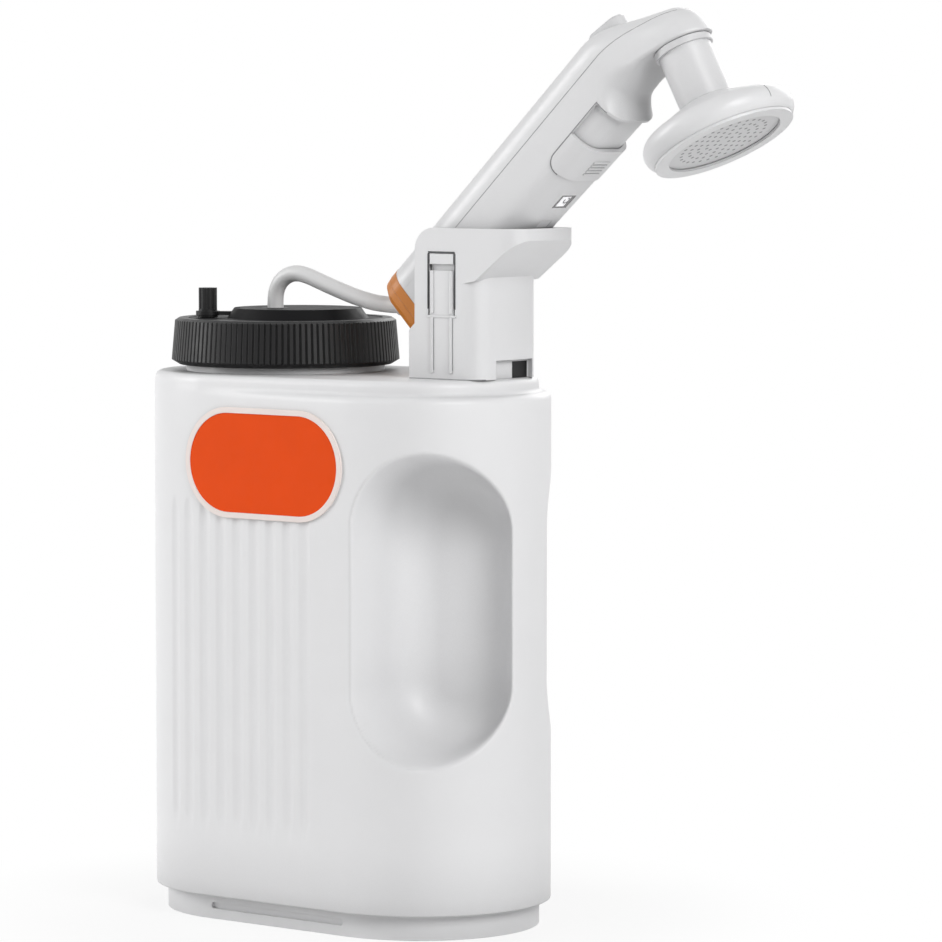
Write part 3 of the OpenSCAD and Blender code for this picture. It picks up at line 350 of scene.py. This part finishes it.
def moulded(
    name, colour, rough, mottle=0.03, grain=600, grain_depth=0.006, edge=0.4, metal=0, coat=0, shine=0.5,
    glow=0, painted_shade=0,
):
    """Moulded plastic, rubber or metal: mottled colour, uneven gloss, fine grain and softened edges.

    The grain's depth and the edges' radius are in millimetres. With painted_shade, its colour is darkened
    in hollows and near other pieces by up to that share: painted shade.
    """
    mat = bpy.data.materials.new(name)
    mat.use_nodes = True
    tree = mat.node_tree
    body = tree.nodes["Principled BSDF"]
    body.inputs["Metallic"].default_value = metal
    body.inputs["Coat Weight"].default_value = coat
    body.inputs["Specular IOR Level"].default_value = shine
    tint = tree.nodes.new("ShaderNodeMix")
    tint.data_type = "RGBA"
    tint.inputs["A"].default_value = [c * (1 - mottle) for c in rgb(*colour)] + [1]
    tint.inputs["B"].default_value = [min(1, c * (1 + mottle)) for c in rgb(*colour)] + [1]
    tree.links.new(add_range(tree, add_noise(tree, MOTTLE_SCALE, 4), 0, 1), tint.inputs["Factor"])
    # Painted shade: the colour darkens in hollows and near other pieces
    if painted_shade:
        tree.links.new(add_painted_shade(tree, tint.outputs["Result"], painted_shade), body.inputs["Base Color"])
    else:
        tree.links.new(tint.outputs["Result"], body.inputs["Base Color"])
    if glow:
        body.inputs["Emission Strength"].default_value = glow
        tree.links.new(tint.outputs["Result"], body.inputs["Emission Color"])
    gloss = add_range(
        tree, add_noise(tree, GLOSS_SCALE, 3), rough * (1 - GLOSS_SPREAD), rough * (1 + GLOSS_SPREAD)
    )
    tree.links.new(gloss, body.inputs["Roughness"])
    bump = tree.nodes.new("ShaderNodeBump")
    bump.inputs["Strength"].default_value = 1
    bump.inputs["Distance"].default_value = grain_depth * MM
    tree.links.new(add_noise(tree, grain, 1), bump.inputs["Height"])
    tree.links.new(bump.outputs["Normal"], body.inputs["Normal"])
    if edge:
        soft = tree.nodes.new("ShaderNodeBevel")
        soft.samples = 4
        soft.inputs["Radius"].default_value = edge * MM
        tree.links.new(soft.outputs["Normal"], bump.inputs["Normal"])
    return mat


# painted_shade is the share of painted shade in a finish's hollows and near other pieces
LOOKS = {
    "tank_white": dict(
        colour=(244, 244, 245), rough=0.4, mottle=0.006, grain=300, grain_depth=0.004, edge=0, shine=0.42,
        painted_shade=0.5,
    ),
    "dock_white": dict(colour=(238, 238, 239), rough=0.36, mottle=0.006, edge=0.5, painted_shade=0.4),
    # Grey of the seams, marks and other real lines, and of the painted shade lines and discs
    "gap_and_shade_grey": dict(colour=(150, 150, 152), rough=0.6, mottle=0.04, edge=0),
    "gap_dark": dict(colour=(84, 84, 86), rough=0.6, mottle=0.05, edge=0),
    "foot_grey": dict(colour=(224, 224, 225), rough=0.45, mottle=0.015),
    "badge_border": dict(colour=(250, 238, 233), rough=0.4, mottle=0.01),
    "badge_orange": dict(colour=(246, 82, 16), rough=0.6, mottle=0.02, shine=0.12),
    "lid_grey": dict(colour=(24, 24, 25), rough=0.5, mottle=0.06, shine=0.08),
    "ring_black": dict(colour=(18, 18, 19), rough=0.42, mottle=0.08, shine=0.3),
    "seal": dict(colour=(84, 84, 86), rough=0.62, mottle=0.06),
    "hose": dict(colour=(230, 230, 230), rough=0.4, mottle=0.012, grain=400, edge=0),
    "shell_white": dict(colour=(234, 234, 235), rough=0.38, mottle=0.008, painted_shade=0.5),
    "end_tan": dict(colour=(206, 128, 54), rough=0.4, mottle=0.05, shine=0.3),
    "steel": dict(colour=(196, 197, 200), rough=0.32, mottle=0.04, metal=1),
    "cell_wrap": dict(colour=(54, 92, 168), rough=0.25, mottle=0.04, coat=0.3),
    "board": dict(colour=(28, 92, 58), rough=0.45, mottle=0.1, grain_depth=0.02),
    "dark_plastic": dict(colour=(46, 47, 50), rough=0.5, mottle=0.06),
    "smoke_window": dict(
        colour=(52, 53, 56), rough=0.12, mottle=0.05, grain=300, grain_depth=0.001, coat=0.6
    ),
    "display_lit": dict(colour=(250, 250, 252), rough=0.3, mottle=0.02, shine=0.3, glow=0.35),
    "plate_grey": dict(colour=(222, 222, 223), rough=0.45, mottle=0.02),
}
FINISHES = {name: moulded(name, **look) for name, look in LOOKS.items()}
# Solids whose look differs from the rest of their slot
OTHER_FINISH = {"dock": "dock_white", "dock_latch": "dock_white", "port_plug": "plate_grey"}


def finish_nodes():
    """Gives each solid the finish of its slot in the record, and smooth shading over its curves."""
    for part in frame["record"]["subparts"]:
        obj = nodes[part["node"]]
        mesh = obj.data
        mesh.materials.clear()
        mesh.materials.append(FINISHES[OTHER_FINISH.get(part["node"], part["material_slot"])])
        if mesh.attributes.get("custom_normal"):
            mesh.attributes.remove(mesh.attributes["custom_normal"])
        mesh.polygons.foreach_set("use_smooth", [True] * len(mesh.polygons))
        weld = obj.modifiers.new("weld", "WELD")
        weld.merge_threshold = WELD * MM
        split = obj.modifiers.new("crisp_edges", "EDGE_SPLIT")
        split.split_angle = CRISP


def dress(piece, finish, body):
    """Finish and body of a new piece."""
    piece.data.materials.append(FINISHES[finish])
    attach(piece, body)
    return piece


# Tank

def on_stadium(way):
    """Centre line and outward direction at a length along the tank's wall, from the middle of its front."""
    way = (way + TANK_END) % TANK_LOOP
    flat = 2 * TANK_END
    bend = math.pi * TANK_R
    if way < flat:
        return Vector((way - TANK_END, 0)), Vector((0, -1))
    if way < flat + bend:
        turn = (way - flat) / TANK_R
        return Vector((TANK_END, 0)), Vector((math.sin(turn), -math.cos(turn)))
    if way < 2 * flat + bend:
        return Vector((TANK_END - (way - flat - bend), 0)), Vector((0, 1))
    turn = (way - 2 * flat - bend) / TANK_R
    return Vector((-TANK_END, 0)), Vector((-math.sin(turn), math.cos(turn)))


def bowl_height(pocket, reach):
    """Height of a pocket's drafted bowl over its mouth, at a distance from its middle line."""
    draft = math.radians(pocket["draft"])
    fillet = pocket["fillet"]
    level = fillet - pocket["depth"]
    inner = pocket["radius"] + level * math.tan(draft) - fillet / math.cos(draft)
    if reach < inner:
        return -pocket["depth"]
    if reach < inner + fillet * math.cos(draft):
        return level - math.sqrt(fillet ** 2 - (reach - inner) ** 2)
    return (reach - pocket["radius"]) / math.tan(draft)


def soft_min(a, b, k):
    """The lesser of two values, rounded where they are within k of each other."""
    return min(a, b) - max(k - abs(a - b), 0) ** 2 / (4 * k)


def press_pocket(pocket, point, outward, z):
    """A point of the wall moved into a pocket, whose lip is rounded more toward the tank's end."""
    side = pocket["side"]
    out = Vector((math.sin(POCKET_AXIS), side * math.cos(POCKET_AXIS)))
    across = Vector((math.cos(POCKET_AXIS), -side * math.sin(POCKET_AXIS)))
    if outward.dot(out) < 0.05:
        return point
    turn = math.radians(pocket["turn"])
    offset = point - Vector((TANK_END + TANK_R * math.sin(turn), side * TANK_R * math.cos(turn)))
    q = offset.dot(across) - pocket["shift"]
    wall = offset.dot(out)
    bowl = bowl_height(pocket, math.hypot(q, max(abs(z - POCKET_Z) - POCKET_RUN, 0)))
    share = min(1, max(0, 0.5 + q / (2 * pocket["radius"])))
    lip = pocket["lip"][0] + (pocket["lip"][1] - pocket["lip"][0]) * share * share
    return point + out * (soft_min(wall, bowl, lip) - wall)


def flute_depth(way, z):
    """Depth of the flutes at a place on the front wall, running out slowly at their ends."""
    if way > TANK_END:
        return 0
    rise = FLUTE_FADE * max(0, FLUTE_Z[0] - z, z - FLUTE_Z[1])
    reach = math.hypot(min(abs(way - at) for at in FLUTES), rise)
    return max(0, math.sqrt(max(0, FLUTE_R ** 2 - reach ** 2)) - FLUTE_R + FLUTE_DEPTH)


def rounded_edge(radius, top):
    """Radius and height round an outer edge, from the wall up to its top."""
    return arc(radius - EDGE_R, top - EDGE_R, EDGE_R, 0, 90, EDGE_STEPS)


def upper_edges():
    """Radius and height up the tank's upper edge: stepped by the dock, and plain by the cap."""
    stepped = rounded_edge(TANK_R, SHOULDER_Z) + COVE + rounded_edge(DECK_R, DECK_Z)
    plain = PLAIN_WALL + rounded_edge(PLAIN_R, DECK_Z)
    return stepped, plain


def tank_rows(columns):
    """Rings of points of the tank's outside, from its foot to its deck, close where it has detail."""
    heights = [*FOOT_ROWS, *span(*FLUTE_FOOT_ROWS), *LOWER_ROWS, *span(*POCKET_ROWS), *UPPER_ROWS]
    places = [on_stadium(way) for way in columns]
    rows = [[(*(mid + out * r), z) for mid, out in places] for r, z in TANK_FOOT]
    for z in heights:
        row = []
        for way, (mid, out) in zip(columns, places):
            point = mid + out * (TANK_R - flute_depth(way, z))
            for pocket in (FRONT_POCKET, REAR_POCKET):
                point = press_pocket(pocket, point, out, z)
            row.append((*point, z))
        rows.append(row)
    for stepped, plain in zip(*upper_edges()):
        row = []
        for mid, out in places:
            share = 0.5 - mid.x / (2 * TANK_END)
            r = stepped[0] + (plain[0] - stepped[0]) * share
            z = stepped[1] + (plain[1] - stepped[1]) * share
            row.append((*(mid + out * r), z))
        rows.append(row)
    return rows


def neck_rows():
    """Rings of points of the tank's neck, up its outside and down into its mouth."""
    return [
        [(NECK_X + r * math.cos(a), r * math.sin(a), z) for a in circle(NECK_SIDES)]
        for r, z in NECK_PROFILE
    ]


def make_tank():
    """The tank's outside with soft pocket lips and a deck step that fades out toward the cap."""
    bend = TANK_END + math.pi * TANK_R
    start, stop = FLUTED
    columns = (
        span(start, stop, FLUTED_STEP) + span(stop, TANK_END, FRONT_STEP) + span(TANK_END, bend, END_STEP)
        + span(bend, TANK_LOOP + start, BACK_STEP)
    )
    bm = bmesh.new()
    for rows, closed in ((tank_rows(columns), True), (neck_rows(), False)):
        bridge(bm, [[bm.verts.new(Vector(p) * MM) for p in row] for row in rows], caps=closed)
    skin = dress(built("tank_skin", bm), "tank_white", "tank_body")
    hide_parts("tank")


# Hose

def smooth_route(points, steps=4):
    """Points in metres on a smooth curve through a route in millimetres."""
    route = [Vector(p) * MM for p in points]
    last = len(route) - 1
    ways = [(route[min(i + 1, last)] - route[max(i - 1, 0)]) / 2 for i in range(last + 1)]
    line = []
    for i in range(last):
        a, b = route[i], route[i + 1]
        reach = (b - a).length / 3
        line += interpolate_bezier(
            a, a + ways[i].normalized() * reach, b - ways[i + 1].normalized() * reach, b, steps + 1
        )[:-1]
    return line + [route[-1]]


def coil_route():
    """The stored coil, wound down round the tank's left end, in millimetres."""
    count = int(COIL_TURNS * COIL_STEPS)
    points = []
    for i in range(count + 1):
        left = (count - i) / COIL_STEPS
        angle = math.radians(-90 - 360 * left)
        points.append((
            COIL_X + COIL_R * math.cos(angle), COIL_R * math.sin(angle), COIL_LOW + COIL_PITCH * left
        ))
    fall = COIL_PITCH / COIL_STEPS
    first = (points[0][0] + COIL_LEAD, points[0][1], points[0][2] + fall)
    before = (first[0] + COIL_LEAD, first[1], first[2] + fall)
    end = (points[-1][0] + COIL_LEAD, points[-1][1], points[-1][2])
    return [before, first] + points + [end]


def make_hose():
    """The free arch from lid to wand, and the length put away in the tank."""
    arch_line = smooth_route(ARCH_ROUTE)
    arch = tube("hose_free", arch_line, HOSE_D / 2, HOSE_SIDES)
    arch.data.materials.append(FINISHES["hose"])
    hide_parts("hose_arch")
    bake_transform(arch)
    store_line = smooth_route(DROP_ROUTE + coil_route())
    store = dress(tube("hose_store", store_line, HOSE_D / 2, HOSE_SIDES), "hose", "tank_body")
    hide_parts("hose_drop", "hose_coil")


# Wand and shower head

def on_wand(x, y, z):
    """Place, in metres, of a point given in the wand's own frame in millimetres."""
    along = Vector((math.cos(WAND_TILT), 0, math.sin(WAND_TILT)))
    out = Vector((-math.sin(WAND_TILT), 0, math.cos(WAND_TILT)))
    return (Vector(WAND_AT) + along * x + Vector((0, y, 0)) + out * z) * MM


def on_neck(x, y, z):
    """Place, in metres, of a point given in the shower neck's frame in millimetres."""
    c, s = math.cos(NECK_LEAN), math.sin(NECK_LEAN)
    return on_wand(NECK_AT[0] + x * c + z * s, y, NECK_AT[1] - x * s + z * c)


def surface_of(*names):
    """Search tree of the surfaces of some solids."""
    corners, faces = [], []
    for name in names:
        mesh = nodes[name].data
        start = len(corners)
        corners += [nodes[name].matrix_world @ v.co for v in mesh.vertices]
        faces += [[start + i for i in p.vertices] for p in mesh.polygons]
    return BVHTree.FromPolygons(corners, faces)


def met(surface, axis, toward):
    """Where a ray from far out along a direction, back to an axis, meets a surface."""
    return surface.ray_cast(axis + toward * FAR * MM, -toward, FAR * MM)[0]


def seam_height(x):
    """Height of the seam between the wand's shells, which bends down under the tip."""
    if x < SEAM_BEND[0]:
        return SEAM_Z
    return SEAM_BEND[1] + math.sqrt(max(0, SEAM_R ** 2 - (x - SEAM_BEND[0]) ** 2))


def recess_outline():
    """Edge of the switch's recess on the wand's side, just outside it, rounded at its lower end."""
    r = RECESS_CORNER
    x0, x1 = RECESS_X[0] - RECESS_OFF, RECESS_X[1] + RECESS_OFF
    z = RECESS_Z + RECESS_OFF
    lower_end = arc(x0 + r, z - r, r, 180, 90, 6)
    return lower_end + [(x1 - 1, z), (x1, z)] + [(x1, z - drop) for drop in RECESS_DROPS]


def make_seams_and_recess_shade():
    """Lines on either side of the wand: dark seam lines between its two shells, and painted shadow lines
    round the switch's recess.
    """
    surface = surface_of("wand_shell", "wand_cover")
    seam = [(x, seam_height(x)) for x in span(*SEAM_X, SEAM_STEP)]
    # The seam lines are dark joints; the recess lines are painted shadow
    for kind, outline, radius in (("seam", seam, SEAM_LINE), ("recess", recess_outline(), RECESS_SHADE_LINE)):
        for side, place in ((-1, "front"), (1, "back")):
            hits = [met(surface, on_wand(x, 0, z), Vector((0, side, 0))) for x, z in outline]
            line = [hit for hit in hits if hit]
            dress(tube(kind + "_" + place, line, radius * MM, LINE_SIDES), "gap_and_shade_grey", "wand_body")


def make_end_band():
    """The end cap's orange skirt, a thin sleeve over the end of the wand's shells."""
    surface = surface_of("wand_shell", "wand_cover")
    inner, outer = BAND_LIFT
    start, stop = END_BAND
    bm = bmesh.new()
    rings = []
    for step, lift in ((start, inner), (start, outer), (stop / 2, outer), (stop, outer), (stop, inner)):
        axis = on_wand(WAND_END + step, 0, END_MIDDLE)
        ring = []
        for a in circle(BAND_SIDES):
            toward = (on_wand(0, math.cos(a), math.sin(a)) - on_wand(0, 0, 0)).normalized()
            ring.append(bm.verts.new(met(surface, axis, toward) + toward * lift * MM))
        rings.append(ring)
    bridge(bm, rings + rings[:1], caps=False, smooth=False)
    dress(built("end_band", bm), "end_tan", "wand_body")


def make_display():
    """The lit part of the display, with a round sign, on its window's face."""
    def face(x, y, lift):
        return on_wand(WINDOW_X + x, y, WINDOW_Z - x * BELLY_SLOPE - lift)

    (x0, x1), (lower, upper) = LIT_X, LIT_Y
    plan = ((x0, lower[0]), (x1, upper[0]), (x1, upper[1]), (x0, lower[1]))
    corners = [face(x, y, lift) for lift in LIT_LIFT for x, y in plan]
    six_sided("display_light", corners, "display_lit", "wand_body")
    ring = [face(x, y, LIT_LIFT[1]) for x, y in arc(*SIGN_AT, SIGN_R, 0, 300, 20)]
    dress(tube("display_sign", ring, SIGN_LINE * MM, GAP_SIDES), "gap_and_shade_grey", "wand_body")


def make_jet_hole_shade():
    """Grey discs in the spray plate's jet holes, in rings round its middle: painted shade that makes the
    holes read dark.
    """
    bm = bmesh.new()
    edge = [(JET_R * math.cos(a), JET_R * math.sin(a)) for a in circle(JET_SIDES)]
    for row in range(1, JET_ROWS + 1):
        count = 6 * row
        for i in range(count):
            turn = 2 * math.pi * (i + 0.5 * (row % 2)) / count
            x, y = JET_PITCH * row * math.cos(turn), JET_PITCH * row * math.sin(turn)
            rings = [[bm.verts.new(on_neck(x + dx, y + dy, z)) for dx, dy in edge] for z in JET_Z]
            bridge(bm, rings, smooth=False)
    dress(built("spray_hole_shade", bm), "gap_and_shade_grey", "wand_body")


def make_head_mark():
    """The short line on the head's edge."""
    surface = surface_of("head_shell")
    line = []
    for z in span(*HEAD_MARK_Z, HEAD_MARK_STEP):
        axis = on_neck(0, 0, z)
        toward = (on_neck(math.cos(HEAD_MARK_TURN), math.sin(HEAD_MARK_TURN), z) - axis).normalized()
        hit = met(surface, axis, toward)
        if hit:
            line.append(hit)
    dress(tube("head_mark", line, HEAD_LINE * MM, LINE_SIDES), "gap_and_shade_grey", "wand_body")


# Dock

def make_latch_lines():
    """The shadow gap round the latch, and the web over the line at its foot."""
    x0, x1 = LATCH_X
    z0, z1 = LATCH_Z
    r = LATCH_CORNER
    path = [(x0, z0)] + arc(x0 + r, z1 - r, r, 180, 90, 2) + arc(x1 - r, z1 - r, r, 90, 0, 2) + [(x1, z0)]
    line = [Vector((x, DOCK_FRONT + LATCH_SUNK, z)) * MM for x, z in path]
    dress(tube("latch_gap", line, LATCH_LINE * MM, GAP_SIDES), "gap_dark", "tank_body")
    front, back = [DOCK_FRONT - proud for proud in WEB_PROUD]
    left, right = x0 - WEB_WIDER, x1 + WEB_WIDER
    plan = ((left, front), (right, front), (right, back), (left, back))
    block("latch_web", plan, WEB_Z, "dock_white", "tank_body")


def make_dock_lines():
    """Shadow lines by the dock's ribs and round its foot."""
    for name, x in RIB_LINES.items():
        line = [Vector((x, DOCK_FRONT, z)) * MM for z in span(*RIB_Z, RIB_STEP)]
        dress(tube(name, line, RIB_LINE * MM, LINE_SIDES), "gap_and_shade_grey", "tank_body")
    path = [(FOOT_X, DOCK_FRONT)] + arc(*FOOT_CORNER, -90, -20, 7)
    line = [Vector((x, y, FOOT_Z)) * MM for x, y in path]
    dress(tube("dock_foot_line", line, FOOT_LINE * MM, LINE_SIDES), "gap_and_shade_grey", "tank_body")


def make_drain_shade():
    """A dark plate inside the dock's drain: painted shade that makes the opening read dark."""
    low, high = DRAIN_SHADE
    plan = ((low[0], low[1]), (high[0], low[1]), (high[0], high[1]), (low[0], high[1]))
    block("drain_shade", plan, (low[2], high[2]), "ring_black", "tank_body")


# Studio

def make_camera():
    camera = bpy.data.objects.new("camera", bpy.data.cameras.new("camera"))
    bpy.context.scene.collection.objects.link(camera)
    camera.data.lens = CAMERA_LENS
    camera.data.sensor_width = 36
    camera.data.clip_end = 100
    camera.location = CAMERA_AT
    look = Vector(CAMERA_LOOKS_AT) - Vector(CAMERA_AT)
    camera.rotation_mode = "QUATERNION"
    camera.rotation_quaternion = look.to_track_quat("-Z", "Y")
    bpy.context.scene.camera = camera


def seen_rays(tree):
    """1 for rays that see the background directly, in a reflection or through glass."""
    path = tree.nodes.new("ShaderNodeLightPath")
    total = path.outputs["Is Camera Ray"]
    for name in ("Is Glossy Ray", "Is Transmission Ray"):
        most = tree.nodes.new("ShaderNodeMath")
        most.operation = "MAXIMUM"
        tree.links.new(total, most.inputs[0])
        tree.links.new(path.outputs[name], most.inputs[1])
        total = most.outputs[0]
    return total


def make_floor():
    """A pale floor that keeps the shadow near the object and fades to white around it."""
    mesh = bpy.data.meshes.new("floor")
    half = FLOOR_HALF
    corners = [(-half, -half, 0), (half, -half, 0), (half, half, 0), (-half, half, 0)]
    mesh.from_pydata(corners, [], [(0, 1, 2, 3)])
    floor = new_object("floor", mesh)
    mat = bpy.data.materials.new("floor")
    mat.use_nodes = True
    tree = mat.node_tree
    pale = tree.nodes["Principled BSDF"]
    pale.inputs["Base Color"].default_value = (FLOOR_GREY, FLOOR_GREY, FLOOR_GREY, 1)
    pale.inputs["Roughness"].default_value = 0.9
    glow = tree.nodes.new("ShaderNodeEmission")
    place = tree.nodes.new("ShaderNodeTexCoord")
    length = tree.nodes.new("ShaderNodeVectorMath")
    length.operation = "LENGTH"
    tree.links.new(place.outputs["Object"], length.inputs[0])
    fade = tree.nodes.new("ShaderNodeMapRange")
    fade.interpolation_type = "SMOOTHSTEP"
    fade.inputs["From Min"].default_value = FLOOR_FADE[0]
    fade.inputs["From Max"].default_value = FLOOR_FADE[1]
    fade.inputs["To Min"].default_value = FLOOR_GLOW[0]
    fade.inputs["To Max"].default_value = FLOOR_GLOW[1]
    tree.links.new(length.outputs["Value"], fade.inputs["Value"])
    share = tree.nodes.new("ShaderNodeMath")
    share.operation = "MULTIPLY"
    tree.links.new(fade.outputs["Result"], share.inputs[1])
    tree.links.new(seen_rays(tree), share.inputs[0])
    both = tree.nodes.new("ShaderNodeMixShader")
    tree.links.new(share.outputs[0], both.inputs["Fac"])
    tree.links.new(pale.outputs[0], both.inputs[1])
    tree.links.new(glow.outputs[0], both.inputs[2])
    tree.links.new(both.outputs[0], tree.nodes["Material Output"].inputs["Surface"])
    mesh.materials.append(mat)


def make_world():
    """A white background that lights the object only faintly."""
    world = bpy.data.worlds.new("studio")
    bpy.context.scene.world = world
    world.use_nodes = True
    tree = world.node_tree
    sky = tree.nodes["Background"]
    sky.inputs["Color"].default_value = (1, 1, 1, 1)
    level = tree.nodes.new("ShaderNodeMapRange")
    level.inputs["To Min"].default_value = AMBIENT
    level.inputs["To Max"].default_value = 1
    tree.links.new(seen_rays(tree), level.inputs["Value"])
    tree.links.new(level.outputs["Result"], sky.inputs["Strength"])


def softbox(name, at, width, height, watts):
    lamp = bpy.data.lights.new(name, "AREA")
    lamp.shape = "RECTANGLE"
    lamp.size = width
    lamp.size_y = height
    lamp.energy = watts
    obj = bpy.data.objects.new(name, lamp)
    bpy.context.scene.collection.objects.link(obj)
    obj.location = at
    obj.rotation_mode = "QUATERNION"
    obj.rotation_quaternion = (Vector(LIT_MIDDLE) - Vector(at)).to_track_quat("-Z", "Y")


def make_studio():
    make_world()
    make_floor()
    for name, box in SOFTBOXES.items():
        softbox(name, *box)
    bpy.context.scene.view_settings.view_transform = "Standard"


make_camera()
make_tank()
make_hose()
make_seams_and_recess_shade()
make_end_band()
make_display()
make_jet_hole_shade()
make_head_mark()
make_latch_lines()
make_dock_lines()
make_drain_shade()
finish_nodes()
make_studio()
